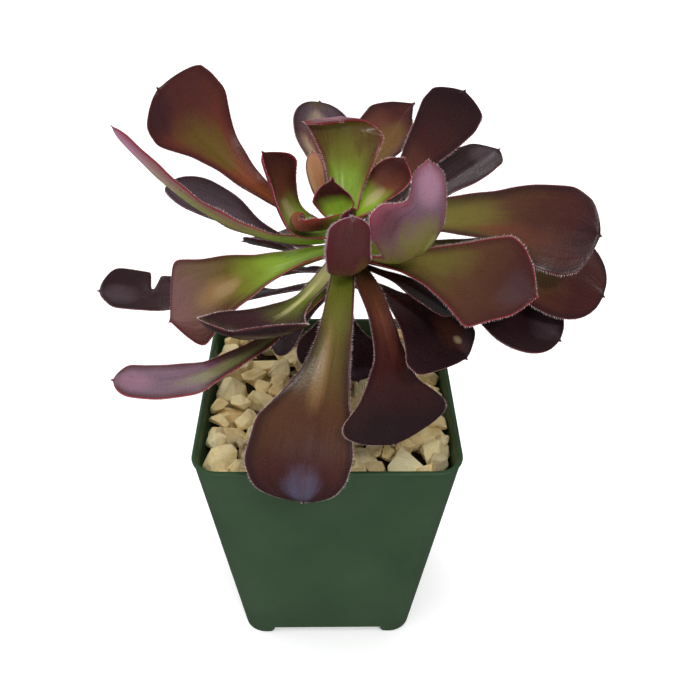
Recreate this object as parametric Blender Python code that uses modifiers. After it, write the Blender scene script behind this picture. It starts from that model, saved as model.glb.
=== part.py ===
"""A potted aeonium: a square nursery pot, potting mix and gravel, a woody stem and a rosette of leaves.

Units are metres with +Z up. The design values are in millimetres and degrees, and MM turns them into metres.
The origin is on the ground, under the middle of the box that holds the pot and leaves. The shapes are
worked out from the pot's axis, and main() moves them all by MIDDLE.
"""

import math
from typing import NamedTuple

import bmesh
import bpy
import numpy as np

MM = 0.001
GAP = 0.3  # left between pieces that touch
MIDDLE = (5.7, 2.7)  # x and y of the box's middle, from the pot's axis

# Pot: a tapered square with round corners, standing on four corner feet
POT_TOP = 89.0
POT_BASE = 64.0
POT_HEIGHT = 97.0
POT_WALL = 1.3
POT_LIP = 0.4  # how far the rim stands proud of the wall
LIP_HEIGHT = 1.6
CORNER_TOP = 9.0
CORNER_BASE = 8.0
CORNER_STEPS = 5
FOOT_HEIGHT = 3.5
FOOT_WIDTH = 11.5
BASE_ROUND = 0.6  # how far the feet draw in at the ground
FLOOR_TOP = FOOT_HEIGHT + POT_WALL
DRAIN_RADIUS = 3.5
DRAIN_OFFSET = 15.0
CUTTER_SPARE = 2.0  # how far a cutter runs past what it cuts

# Fill
SOIL_TOP = 87.0
GRAVEL_TOP = 93.0

# Stem: (x, y, z, radius) up its centre line, from the root crown to the growing tip
STEM = (
    (0.0, 0.0, 69.0, 2.5),
    (0.0, 0.0, 73.0, 6.0),
    (0.0, 0.0, 81.0, 5.5),
    (0.0, 0.0, 89.0, 4.2),
    (1.5, 0.0, 107.0, 3.9),
    (3.2, 0.0, 127.0, 4.0),
    (4.8, 0.0, 141.0, 4.6),
    (5.8, 0.0, 151.0, 5.0),
    (5.4, 0.0, 158.0, 4.4),
    (5.0, 0.0, 162.0, 3.0),
    (4.9, 0.0, 164.0, 1.6),
)
ROOT_HOLE = 6.6
STEM_HOLE = 4.8
ROOT_HOLE_FLOOR = 67.0

# Leaves: mesh cells along and across, thickness at the petiole, in the blade and at the margin
ALONG = 12
ACROSS = 4
PETIOLE_THICK = 2.0
BLADE_THICK = 1.5
MARGIN_SHARE = 0.4  # of the thickness in the middle
TIP_HALF_WIDTH = 0.8
MIDRIB_STEPS = 200
OUTLINE_STEPS = 400
ROUNDING = 16  # outline steps over which a corner is eased
CORNER = 5.0  # how far before a blunt tip its corners turn


class Outline(NamedTuple):
    """How a leaf widens: petiole as a share of the blade, place of the widest point, tip and flare powers."""

    petiole: float
    widest: float
    tip: float
    flare: float


PADDLE = Outline(0.17, 0.80, 2.1, 2.2)
FAN = Outline(0.17, 0.86, 2.0, 1.7)
SQUARE = Outline(0.17, 0.75, 2.8, 1.7)
KITE = Outline(0.17, 0.72, 1.6, 1.6)
WEDGE = Outline(0.26, 0.82, 2.3, 1.1)
YOUNG = Outline(0.35, 0.74, 2.2, 1.2)
SPOON = Outline(0.25, 0.65, 2.2, 1.4)


class Leaf(NamedTuple):
    """One leaf. Angles run from the stem to the tip, and a positive roll lifts the left side."""

    name: str
    height: float  # of its foot on the stem
    azimuth: float  # 0 is +X, 90 is +Y
    sweep: float  # how far it turns sideways
    pitch: tuple  # at the foot, the middle and the tip
    length: float
    width: float  # of the blade, where SIDES has no outline for it
    roll: tuple = (0, 0)
    cup: tuple = (30, 10)  # how far the section bends up to its margins
    outline: Outline = PADDLE
    start: float = 5.6  # distance from the stem's centre line
    hook: tuple = (0.8, 0)  # where along it the tip starts to curl over, and how far in all
    slant: float = 0.0  # how far the left side is pushed ahead of the right, as a share of the half width


LEAVES = (
    Leaf(
        "leaf_upper_left", 159, 158, 18, (7, 44, 56), 75, 26, (-10, -45),
        (40, 15), PADDLE, 13, (0.8, 0), -0.1,
    ),
    Leaf("leaf_left_long", 159, 179, -3, (-20, 44, 55), 84, 14, (75, 40), (30, 10), PADDLE, 9),
    Leaf("leaf_left_behind", 149, 160, 4, (8, 18, 22), 65, 22, (0, 0), (40, 30), PADDLE, 9),
    Leaf("leaf_left_small", 148, 154, 0, (4, 0, -5), 38, 14, (20, 30), (30, 20), PADDLE, 14),
    Leaf("leaf_far_left", 143, 163, 28, (-26, -10, 20), 86, 27, (0, 0), (30, 10), PADDLE, 5.6),
    Leaf("leaf_left_squared", 154, 190, 0, (-10, -14, -38), 63, 33, (0, -15), (40, 10), SQUARE, 5.6),
    Leaf("leaf_left_spoon", 153, 231, 8, (-25, -20, 50), 62, 36, (0, 15), (30, 30), PADDLE, 7),
    Leaf("leaf_lower_left", 149, 238, -52, (-22, -28, 20), 88, 22, (5, 0), (30, 10), PADDLE, 7),
    Leaf("leaf_shaded_left", 141, 192, 0, (-40, -50, -40), 34, 20, (0, 0), (20, 10), PADDLE, 8),
    Leaf("leaf_shaded_front_left", 146, 246, 4, (-40, -58, -60), 36, 18, (0, 0), (20, 10), PADDLE, 8),
    Leaf("leaf_shaded_front", 140, 288, 0, (-45, -60, -65), 33, 20, (0, 0), (20, 10), PADDLE, 8),
    Leaf("leaf_front", 153, 264, -18, (-8, -45, -80), 87, 35, (0, -20), (35, 10), PADDLE, 11),
    Leaf("leaf_front_right", 152, 301, -27, (-10, -50, -70), 67, 36, (-4, -36), (30, 10), FAN, 8),
    Leaf("leaf_right_low", 142, 332, -14, (4, -20, -28), 50, 27, (0, 0), (30, 10), PADDLE, 10),
    Leaf("leaf_right_shaded", 149, 329, 6, (8, -20, -28), 40, 16, (0, -10), (30, 20), PADDLE, 5.6),
    Leaf("leaf_right_squared", 153, 330, -4, (5, 10, -3), 65.5, 34, (10, 40), (30, 10), KITE, 9),
    Leaf("leaf_right_broad", 157, 352, -10, (20, 9, -4), 80, 31, (10, 52), (30, 10), WEDGE, 10),
    Leaf("leaf_far_right", 156, 355, -12, (6, -5, -22), 85, 32, (0, 30), (30, 10), PADDLE, 9),
    Leaf("leaf_right_under", 151, 344, -12, (0, -14, -20), 74, 26, (0, 20), (30, 10), PADDLE, 7),
    Leaf("leaf_back_right_tall", 161, 37, -8, (18, 40, 57), 60, 20, (0, 30), (30, 10), PADDLE, 7),
    Leaf("leaf_back_right", 157, 24, 4, (12, 24, 24), 61, 20, (0, 0), (30, 10), PADDLE, 10),
    Leaf(
        "leaf_back_left", 156, 100, -2, (8, 36, 36), 61, 21, (0, 0), (30, 10), PADDLE, 7, (0.8, 0), 0.25,
    ),
    Leaf("leaf_back_brown", 160, 80, -34, (20, 29, 21), 61, 22, (0, 10), (30, 10), PADDLE, 7),
    Leaf("leaf_back_low", 148, 88, 4, (0, -20, -30), 66, 26, (0, 0), (30, 10), PADDLE, 5.6),
    Leaf("leaf_back_deep", 153, 66, 0, (-5, 5, -10), 64, 28, (0, 0), (30, 10), PADDLE, 5.6),
    Leaf("leaf_back_far", 155, 123, 0, (-10, -26, -32), 60, 26, (0, 0), (30, 10), PADDLE, 5.6),
    Leaf("leaf_back_side", 145, 132, 0, (-20, -25, -40), 58, 25, (0, 0), (30, 10), PADDLE, 5.6),
    Leaf(
        "young_leaf_back", 164, 94, 0, (45, 60, 80), 35, 26, (0, 0), (40, 10), YOUNG, 6, (0.82, 140), 0.18,
    ),
    Leaf("young_leaf_sliver", 162, 148, 0, (20, 88, 80), 27, 6, (0, -50), (30, 10), YOUNG, 7),
    Leaf(
        "young_leaf_left", 161, 189, -4, (-25, 92, 74), 43, 15, (0, -40), (15, 50), YOUNG, 8, (0.8, 0), 0.15,
    ),
    Leaf("young_leaf_right", 164, 25, 0, (20, 46, 54), 28, 19, (0, 20), (50, 30), YOUNG, 7),
    Leaf("young_leaf_front", 160, 274, 0, (-65, 63, 107), 47, 16, (20, 0), (30, 30), SPOON, 10),
    Leaf("young_leaf_front_right", 164, 310, 0, (-48, 62, 112), 67, 18, (0, -50), (20, 65), SPOON, 7),
    Leaf(
        "young_leaf_rolled", 164, 226, -8, (10, 13, 13), 30, 7, (60, 35), (50, 60), YOUNG, 6, (0.56, 330),
    ),
    Leaf("heart_leaf_small", 160, 310, 0, (50, 75, 90), 11, 6, (0, 0), (50, 30), YOUNG, 6),
    Leaf(
        "heart_leaf", 164, 150, 0, (45, 92, 84), 15, 13, (-30, -50), (50, 30), YOUNG, 3, (0.85, 0), 0.3,
    ),
)

# Half widths of the left and right sides of an uneven leaf: (share of its length, width)
SIDES = {
    "leaf_upper_left": (
        (
            (0, 2), (0.2, 2), (0.35, 2.3), (0.5, 3.6), (0.62, 4.8),
            (0.72, 7), (0.8, 10.5), (0.86, 13), (0.93, 12), (1, 7),
        ),
        (
            (0, 2), (0.2, 2.3), (0.35, 3.2), (0.5, 5.5), (0.62, 8.5),
            (0.72, 13), (0.8, 16.6), (0.89, 16.6), (0.96, 15), (1, 12),
        ),
    ),
    "leaf_left_long": (
        ((0, 2), (0.3, 2), (0.5, 3.2), (0.7, 5), (0.88, 6), (0.95, 5.5), (1, 4)),
        ((0, 2), (0.3, 2), (0.5, 2.8), (0.7, 2.2), (0.85, 2.4), (0.95, 3.5), (1, 3)),
    ),
    "leaf_far_left": (
        ((0, 2), (0.3, 2), (0.5, 5), (0.65, 7.5), (0.85, 10), (0.95, 10), (1, 6)),
        ((0, 2), (0.3, 2), (0.5, 6), (0.6, 10), (0.75, 12), (0.86, 14.5), (0.94, 15.5), (1, 9)),
    ),
    "leaf_left_squared": (
        (
            (0, 3), (0.15, 3.5), (0.3, 5.5), (0.45, 10), (0.6, 15),
            (0.74, 19), (0.82, 22), (0.87, 18.5), (0.93, 11), (1, 3),
        ),
        (
            (0, 3), (0.15, 4), (0.3, 6), (0.45, 8), (0.6, 12), (0.75, 16.5),
            (0.85, 20.5), (0.88, 20), (0.92, 13), (0.96, 7.5), (1, 2.5),
        ),
    ),
    "leaf_lower_left": (
        ((0, 2), (0.3, 2), (0.45, 2), (0.6, 4.5), (0.72, 9.5), (0.85, 9.5), (0.95, 8), (1, 7)),
        ((0, 2), (0.3, 2.5), (0.5, 4), (0.7, 6), (0.85, 8), (0.95, 8), (1, 5)),
    ),
    "leaf_front": (
        (
            (0, 3.2), (0.1, 4), (0.2, 5), (0.3, 6), (0.4, 7), (0.5, 8),
            (0.6, 9.5), (0.7, 11.5), (0.8, 13.5), (0.9, 12.3), (1, 7),
        ),
        (
            (0, 3.2), (0.2, 3.5), (0.3, 3.6), (0.4, 4), (0.5, 6),
            (0.6, 10.8), (0.7, 17.6), (0.85, 19.5), (0.92, 17), (1, 11),
        ),
    ),
    "leaf_front_right": (
        (
            (0, 3), (0.3, 4), (0.4, 4.5), (0.5, 5.5), (0.6, 7), (0.7, 9),
            (0.77, 15.5), (0.84, 21), (0.9, 21.5), (0.95, 16), (1, 9),
        ),
        (
            (0, 3), (0.3, 4), (0.4, 4.5), (0.5, 5.5), (0.6, 7), (0.7, 12),
            (0.77, 17.5), (0.83, 25.5), (0.88, 24), (0.92, 18.5), (0.97, 11), (1, 6),
        ),
    ),
    "leaf_right_low": (
        ((0, 2.5), (0.2, 3), (0.4, 5), (0.6, 9), (0.8, 12), (0.9, 11), (1, 5)),
        ((0, 2.5), (0.2, 3), (0.4, 5), (0.6, 12), (0.8, 23), (0.9, 22), (1, 11)),
    ),
    "leaf_right_squared": (
        (
            (0, 3), (0.2, 3.5), (0.35, 5.5), (0.5, 8), (0.65, 12),
            (0.79, 15.8), (0.86, 13.5), (0.93, 8.5), (1, 3),
        ),
        (
            (0, 3), (0.2, 3.5), (0.35, 5), (0.5, 8), (0.62, 11.5),
            (0.7, 14.5), (0.77, 17.2), (0.85, 12.5), (0.95, 7.5), (1, 4),
        ),
    ),
    "leaf_right_broad": (
        (
            (0, 3.5), (0.2, 6), (0.3, 8.5), (0.4, 9.5), (0.6, 10.8),
            (0.75, 12.8), (0.88, 13.2), (0.95, 10), (1, 6),
        ),
        (
            (0, 3), (0.4, 3), (0.5, 4.5), (0.6, 6.5), (0.7, 10),
            (0.78, 13.5), (0.88, 14.6), (0.96, 12), (1, 7),
        ),
    ),
    "leaf_back_right_tall": (
        ((0, 2), (0.3, 2.5), (0.5, 5), (0.7, 8.3), (0.85, 10.5), (0.95, 9.5), (1, 6)),
        ((0, 2), (0.3, 2.5), (0.5, 5), (0.7, 8.5), (0.85, 10.8), (0.95, 10), (1, 6)),
    ),
    "leaf_back_right": (
        ((0, 2), (0.3, 2.5), (0.5, 7), (0.7, 11), (0.85, 12), (0.95, 9.5), (1, 4)),
        ((0, 2), (0.3, 2.5), (0.5, 5.5), (0.7, 8), (0.85, 8.5), (0.95, 7.5), (1, 4)),
    ),
    "leaf_back_brown": (
        ((0, 2), (0.3, 2.5), (0.5, 7), (0.7, 11.5), (0.85, 11.5), (0.95, 6), (1, 2)),
        ((0, 2), (0.3, 2.5), (0.5, 6), (0.65, 9), (0.8, 9), (0.9, 3.5), (1, 0.5)),
    ),
    "young_leaf_back": (
        ((0, 4), (0.3, 4), (0.6, 6), (0.8, 9.5), (0.9, 12), (1, 17)),
        ((0, 4), (0.3, 7), (0.6, 11), (0.8, 13.5), (1, 12)),
    ),
    "young_leaf_left": (
        ((0, 3), (0.2, 4.5), (0.35, 8.5), (0.48, 10.5), (0.6, 5.5), (0.72, 2), (0.9, 2), (1, 2)),
        ((0, 4), (0.25, 6), (0.5, 8.5), (0.7, 9.5), (0.85, 10.5), (0.95, 9), (1, 5)),
    ),
    "young_leaf_right": (
        ((0, 4), (0.3, 7), (0.7, 6.8), (0.9, 5), (1, 3.5)),
        ((0, 4), (0.3, 8), (0.7, 9.5), (0.9, 9), (1, 5)),
    ),
    "young_leaf_front": (
        ((0, 3), (0.35, 7), (0.5, 7.2), (0.75, 5.8), (0.93, 5.6), (1, 5)),
        ((0, 3), (0.38, 3.5), (0.5, 7), (0.75, 8), (0.93, 7), (1, 6)),
    ),
    "young_leaf_front_right": (
        ((0, 3), (0.45, 7), (0.6, 6), (0.8, 5), (0.93, 4.5), (1, 3)),
        ((0, 3), (0.4, 5), (0.5, 14), (0.62, 17), (0.73, 15), (0.8, 7.5), (0.95, 6), (1, 5)),
    ),
    "young_leaf_rolled": (
        ((0, 3), (0.5, 3), (1, 2.5)),
        ((0, 3), (0.3, 5), (0.5, 5.5), (0.62, 3.2), (1, 2.5)),
    ),
    "heart_leaf": (
        ((0, 2), (0.3, 6), (0.6, 8.5), (0.85, 5), (1, 0.5)),
        ((0, 4), (0.3, 6), (0.6, 5.5), (0.85, 3), (1, 0.5)),
    ),
}

COLOURS = {
    "pot": (0.055, 0.090, 0.050, 0.45),
    "soil": (0.030, 0.018, 0.010, 0.95),
    "gravel": (0.68, 0.56, 0.38, 0.85),
    "stem": (0.16, 0.09, 0.045, 0.80),
    "leaf": (0.055, 0.022, 0.018, 0.30),
    "young": (0.20, 0.30, 0.05, 0.35),
}


def clear_scene():
    for obj in list(bpy.data.objects):
        bpy.data.objects.remove(obj, do_unlink=True)


def new_collection(name):
    collection = bpy.data.collections.new(name)
    bpy.context.scene.collection.children.link(collection)
    return collection


def make_material(name):
    red, green, blue, roughness = COLOURS[name]
    material = bpy.data.materials.new(name)
    material.use_nodes = True
    shader = material.node_tree.nodes["Principled BSDF"]
    shader.inputs["Base Color"].default_value = (red, green, blue, 1.0)
    shader.inputs["Roughness"].default_value = roughness
    shader.inputs["Metallic"].default_value = 0.0
    return material


def add_object(name, shape, material, collection):
    """Links a new object that holds the bmesh, shaded smooth with sharp edges kept."""
    bmesh.ops.recalc_face_normals(shape, faces=shape.faces)
    mesh = bpy.data.meshes.new(name)
    shape.to_mesh(mesh)
    shape.free()
    mesh.shade_smooth()
    mesh.set_sharp_from_angle(angle=math.radians(40))
    obj = bpy.data.objects.new(name, mesh)
    obj.data.materials.append(material)
    collection.objects.link(obj)
    return obj


def add_cutter(name, shape, collection):
    cutter = add_object(name, shape, None, collection)
    cutter.hide_render = True
    cutter.display_type = "WIRE"
    return cutter


def cut(target, cutter):
    modifier = target.modifiers.new(f"cut_{cutter.name}", "BOOLEAN")
    modifier.operation = "DIFFERENCE"
    modifier.solver = "EXACT"
    modifier.object = cutter


def rounded_square(half, radius, z):
    """Points round a square with round corners, counterclockwise, in metres."""
    points = []
    inner = half - radius
    for quarter in range(4):
        corner = math.radians(45 + 90 * quarter)
        cx = math.copysign(inner, math.cos(corner))
        cy = math.copysign(inner, math.sin(corner))
        for step in range(CORNER_STEPS + 1):
            angle = math.radians(90 * (quarter + step / CORNER_STEPS))
            x = cx + radius * math.cos(angle)
            y = cy + radius * math.sin(angle)
            points.append((x * MM, y * MM, z * MM))
    return points


def loft(rings):
    """A closed bmesh through rings of equal point counts, with both ends filled."""
    shape = bmesh.new()
    loops = [[shape.verts.new(point) for point in ring] for ring in rings]
    count = len(loops[0])
    for lower, upper in zip(loops, loops[1:]):
        for i in range(count):
            j = (i + 1) % count
            shape.faces.new((lower[i], lower[j], upper[j], upper[i]))
    shape.faces.new(loops[0][::-1])
    shape.faces.new(loops[-1])
    return shape


def pot_half(z):
    """Half the pot's outer width at a height, under the lip."""
    return (POT_BASE + (POT_TOP - 2 * POT_LIP - POT_BASE) * z / POT_HEIGHT) / 2


def pot_corner(z):
    return CORNER_BASE + (CORNER_TOP - CORNER_BASE) * z / POT_HEIGHT


def outer_ring(z, proud=0.0):
    return rounded_square(pot_half(z) + proud, pot_corner(z), z)


def inner_ring(z, clearance=0.0):
    inset = POT_WALL + clearance
    return rounded_square(pot_half(z) - inset, pot_corner(z) - inset, z)


def add_box(name, size, collection):
    """A cutter centred on the pot's axis at the ground."""
    shape = bmesh.new()
    bmesh.ops.create_cube(shape, size=1.0)
    bmesh.ops.scale(shape, vec=[side * MM for side in size], verts=shape.verts)
    return add_cutter(name, shape, collection)


def add_cylinder(name, radius, place, bottom, top, collection):
    """An upright round cutter between two heights."""
    shape = bmesh.new()
    bmesh.ops.create_cone(
        shape,
        cap_ends=True,
        segments=24,
        radius1=radius * MM,
        radius2=radius * MM,
        depth=(top - bottom) * MM,
    )
    centre = (place[0] * MM, place[1] * MM, (top + bottom) / 2 * MM)
    bmesh.ops.translate(shape, vec=centre, verts=shape.verts)
    return add_cutter(name, shape, collection)


def add_pot(material, parts, cutters):
    """A thin tapered shell with a turned-out lip, standing on its corners."""
    lip_start = POT_HEIGHT - LIP_HEIGHT
    rings = [
        rounded_square(pot_half(0) - BASE_ROUND, pot_corner(0) - BASE_ROUND, 0.0),
        outer_ring(BASE_ROUND),
        outer_ring(lip_start),
        outer_ring(lip_start + POT_LIP, POT_LIP),
        outer_ring(POT_HEIGHT - POT_LIP / 2, POT_LIP),
        outer_ring(POT_HEIGHT, POT_LIP / 2),
        inner_ring(POT_HEIGHT),
        inner_ring(FLOOR_TOP),
    ]
    pot = add_object("pot", loft(rings), material, parts)
    channel = POT_BASE - 2 * FOOT_WIDTH
    reach = POT_BASE + 2 * CUTTER_SPARE
    depth = 2 * FOOT_HEIGHT
    cut(pot, add_box("channel_x", (reach, channel, depth), cutters))
    cut(pot, add_box("channel_y", (channel, reach, depth), cutters))
    top = FLOOR_TOP + CUTTER_SPARE
    for sx, sy in ((1, 1), (-1, 1), (-1, -1), (1, -1)):
        place = (sx * DRAIN_OFFSET, sy * DRAIN_OFFSET)
        cut(pot, add_cylinder("drain_hole", DRAIN_RADIUS, place, 0.0, top, cutters))


def add_fill(name, bottom, top, material, parts, cutters, hole, hole_bottom):
    """A block that fills the pot between two heights, with a hole for the stem."""
    rings = [inner_ring(bottom, GAP), inner_ring(top, GAP)]
    block = add_object(name, loft(rings), material, parts)
    hole_top = top + CUTTER_SPARE
    cut(block, add_cylinder(f"{name}_hole", hole, (0.0, 0.0), hole_bottom, hole_top, cutters))


def add_stem(material, parts):
    """One tube from the root crown to the growing tip."""
    curve = bpy.data.curves.new("stem", "CURVE")
    curve.dimensions = "3D"
    curve.bevel_depth = MM
    curve.bevel_resolution = 4
    curve.use_fill_caps = True
    spline = curve.splines.new("POLY")
    spline.points.add(len(STEM) - 1)
    for point, (x, y, z, radius) in zip(spline.points, STEM):
        point.co = (x * MM, y * MM, z * MM, 1.0)
        point.radius = radius
    spline.use_smooth = True
    stem = bpy.data.objects.new("stem", curve)
    stem.data.materials.append(material)
    parts.objects.link(stem)


def stem_centre(z):
    heights = [row[2] for row in STEM]
    return np.array([np.interp(z, heights, [row[axis] for row in STEM]) for axis in range(3)])


def along_bend(values, t):
    """A smooth run through the value at the foot, towards the middle one, to the one at the tip."""
    foot, middle, tip = values
    return (1 - t) ** 2 * foot + 2 * t * (1 - t) * middle + t**2 * tip


def ease(t):
    return t * t * (3 - 2 * t)


def swell(t):
    return t**3 * (t * (6 * t - 15) + 10)


def leaf_directions(leaf, t):
    """Unit vectors along the midrib, to the leaf's left side and out of its upper face."""
    yaw = np.radians(leaf.azimuth + leaf.sweep * t)
    pitch = np.radians(along_bend(leaf.pitch, t))
    roll = np.radians(leaf.roll[0] + (leaf.roll[1] - leaf.roll[0]) * ease(t))[:, None]
    forward = np.stack([np.cos(yaw) * np.cos(pitch), np.sin(yaw) * np.cos(pitch), np.sin(pitch)], 1)
    level = np.stack([-np.sin(yaw), np.cos(yaw), 0 * yaw], 1)
    upright = np.cross(forward, level)
    side = level * np.cos(roll) + upright * np.sin(roll)
    face = upright * np.cos(roll) - level * np.sin(roll)
    curl = np.radians(leaf.hook[1]) * np.clip((t - leaf.hook[0]) / (1 - leaf.hook[0]), 0, 1) ** 1.3
    curl = curl[:, None]
    ahead = forward * np.cos(curl) + face * np.sin(curl)
    return ahead, side, face * np.cos(curl) - forward * np.sin(curl)


def midrib(leaf, t):
    """Points along the midrib, in millimetres, by adding up short steps from the stem."""
    fine = np.linspace(0, 1, MIDRIB_STEPS + 1)
    forward = leaf_directions(leaf, fine)[0]
    steps = (forward[1:] + forward[:-1]) / 2 * leaf.length / MIDRIB_STEPS
    path = np.vstack([np.zeros(3), np.cumsum(steps, axis=0)]) + stem_centre(leaf.height)
    return np.stack([np.interp(t, fine, path[:, axis]) for axis in range(3)], 1)


def run_through(points, t):
    """A rounded line through (share of length, width) points."""
    fine = np.linspace(0, 1, OUTLINE_STEPS + 1)
    line = np.interp(fine, [point[0] for point in points], [point[1] for point in points])
    window = np.hanning(2 * ROUNDING + 1)
    before = np.full(ROUNDING, line[0])
    after = 2 * line[-1] - line[-2 : -ROUNDING - 2 : -1]
    eased = np.convolve(np.concatenate([before, line, after]), window / window.sum(), "valid")
    return np.interp(t, fine, eased)


def half_width(leaf, t, side):
    """Half width in millimetres on the left (side 0) or the right (1)."""
    if leaf.name in SIDES:
        end = np.clip((1 - t) * leaf.length / CORNER, 0, 1)
        half = run_through(SIDES[leaf.name][side], t) * (1 - (1 - end) ** 2) ** 0.5
        return np.maximum(half, TIP_HALF_WIDTH)
    shape = leaf.outline
    rise = shape.petiole + (1 - shape.petiole) * swell(np.clip(t / shape.widest, 0, 1) ** shape.flare)
    fall = np.clip((t - shape.widest) / (1 - shape.widest), 0, 1)
    end = (1 - fall**shape.tip) ** (1 / shape.tip)
    return np.maximum(np.where(t < shape.widest, rise, end) * leaf.width / 2, TIP_HALF_WIDTH)


def leaf_points(leaf, t, across):
    """Points over the leaf's middle surface: one row for each t, one column for each place across."""
    ahead, side, face = leaf_directions(leaf, t)
    bend = np.radians(leaf.cup[0] + (leaf.cup[1] - leaf.cup[0]) * t)[:, None]
    left = half_width(leaf, t, 0)[:, None]
    right = half_width(leaf, t, 1)[:, None]
    half = np.where(across > 0, left, right)
    turn = bend * across[None, :]
    out = half * np.sin(turn) / bend
    lift = half * (1 - np.cos(turn)) / bend
    push = leaf.slant * out * np.clip(t * 1.6 - 0.5, 0, 1)[:, None]
    points = midrib(leaf, t)[:, None] + side[:, None] * out[..., None] + face[:, None] * lift[..., None]
    return points + ahead[:, None] * push[..., None]


def leaf_rows(leaf):
    """Places along the midrib, closer together towards the tip."""
    start = leaf.start / leaf.length
    return 1 - (1 - start) * (1 - np.linspace(0, 1, ALONG + 1)) ** 1.5


def add_leaf(leaf, material, parts):
    """A grid laid over the leaf's middle surface and thickened, thinner at its margins."""
    t = leaf_rows(leaf)
    across = np.linspace(-1, 1, ACROSS + 1)
    points = leaf_points(leaf, t, across) * MM
    shape = bmesh.new()
    bmesh.ops.create_grid(shape, x_segments=ACROSS, y_segments=ALONG, size=1.0)
    shape.verts.ensure_lookup_table()
    shares = []
    for vert in shape.verts:
        column = round((vert.co.x + 1) / 2 * ACROSS)
        row = round((vert.co.y + 1) / 2 * ALONG)
        vert.co = points[row, column]
        edge = abs(across[column]) ** 2
        thick = PETIOLE_THICK + (BLADE_THICK - PETIOLE_THICK) * min(1.0, 2 * t[row])
        shares.append(thick / PETIOLE_THICK * (1 + (MARGIN_SHARE - 1) * edge))
    mesh = bpy.data.meshes.new(leaf.name)
    shape.to_mesh(mesh)
    shape.free()
    mesh.shade_smooth()
    obj = bpy.data.objects.new(leaf.name, mesh)
    obj.data.materials.append(material)
    parts.objects.link(obj)
    group = obj.vertex_groups.new(name="thickness")
    for index, share in enumerate(shares):
        group.add([index], share, "REPLACE")
    solidify = obj.modifiers.new("thickness", "SOLIDIFY")
    solidify.thickness = PETIOLE_THICK * MM
    solidify.offset = 0.0
    solidify.vertex_group = group.name


def main():
    clear_scene()
    parts = new_collection("potted_aeonium")
    cutters = new_collection("cutters")
    materials = {name: make_material(name) for name in COLOURS}
    add_pot(materials["pot"], parts, cutters)
    add_fill(
        "soil",
        FLOOR_TOP + GAP,
        SOIL_TOP,
        materials["soil"],
        parts,
        cutters,
        hole=ROOT_HOLE,
        hole_bottom=ROOT_HOLE_FLOOR,
    )
    add_fill(
        "gravel",
        SOIL_TOP + GAP,
        GRAVEL_TOP,
        materials["gravel"],
        parts,
        cutters,
        hole=STEM_HOLE,
        hole_bottom=SOIL_TOP - CUTTER_SPARE,
    )
    add_stem(materials["stem"], parts)
    for leaf in LEAVES:
        young = leaf.name.startswith(("young", "heart"))
        add_leaf(leaf, materials["young" if young else "leaf"], parts)
    for obj in list(parts.objects) + list(cutters.objects):
        obj.location = (-MIDDLE[0] * MM, -MIDDLE[1] * MM, 0.0)


main()
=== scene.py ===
import math
from typing import NamedTuple

import bmesh
import bpy
import numpy as np
from mathutils import Matrix, Vector, noise


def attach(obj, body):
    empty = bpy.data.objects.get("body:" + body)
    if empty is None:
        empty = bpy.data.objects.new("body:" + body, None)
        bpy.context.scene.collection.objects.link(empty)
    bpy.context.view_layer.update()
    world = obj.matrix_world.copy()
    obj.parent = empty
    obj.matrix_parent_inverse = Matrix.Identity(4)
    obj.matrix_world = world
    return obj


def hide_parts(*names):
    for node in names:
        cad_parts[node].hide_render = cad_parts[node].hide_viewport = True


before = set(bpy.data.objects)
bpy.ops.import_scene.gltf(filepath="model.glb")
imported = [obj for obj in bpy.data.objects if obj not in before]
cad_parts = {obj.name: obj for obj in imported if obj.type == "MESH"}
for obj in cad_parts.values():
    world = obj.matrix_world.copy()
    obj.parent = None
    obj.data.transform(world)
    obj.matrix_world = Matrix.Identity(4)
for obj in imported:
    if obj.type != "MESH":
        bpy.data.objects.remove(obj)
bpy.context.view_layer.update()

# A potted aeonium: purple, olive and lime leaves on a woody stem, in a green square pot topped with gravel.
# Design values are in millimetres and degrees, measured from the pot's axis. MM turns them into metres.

MM = 0.001
MIDDLE = np.array([5.7, 2.7, 0.0])  # the frame's origin, from the pot's axis


# ---------------------------------------------------------------- leaf shapes

class Outline(NamedTuple):
    """How a leaf widens: its foot's share of its width, where it is widest, how square its end is and
    how late it flares."""

    petiole: float
    widest: float
    tip: float
    flare: float


PADDLE = Outline(0.17, 0.80, 2.1, 2.2)
FAN = Outline(0.17, 0.86, 2.0, 1.7)
SQUARE = Outline(0.17, 0.75, 2.8, 1.7)
KITE = Outline(0.17, 0.72, 1.6, 1.6)
WEDGE = Outline(0.26, 0.82, 2.3, 1.1)
YOUNG = Outline(0.35, 0.74, 2.2, 1.2)
SPOON = Outline(0.25, 0.65, 2.2, 1.4)

# Middle of the stem and its radius at each height: x, y, height, radius
STEM = (
    (0.0, 0.0, 69.0, 2.5),
    (0.0, 0.0, 73.0, 6.0),
    (0.0, 0.0, 81.0, 5.5),
    (0.0, 0.0, 89.0, 4.2),
    (1.5, 0.0, 107.0, 3.9),
    (3.2, 0.0, 127.0, 4.0),
    (4.8, 0.0, 141.0, 4.6),
    (5.8, 0.0, 151.0, 5.0),
    (5.4, 0.0, 158.0, 4.4),
    (5.0, 0.0, 162.0, 3.0),
    (4.9, 0.0, 164.0, 1.6),
)

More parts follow.
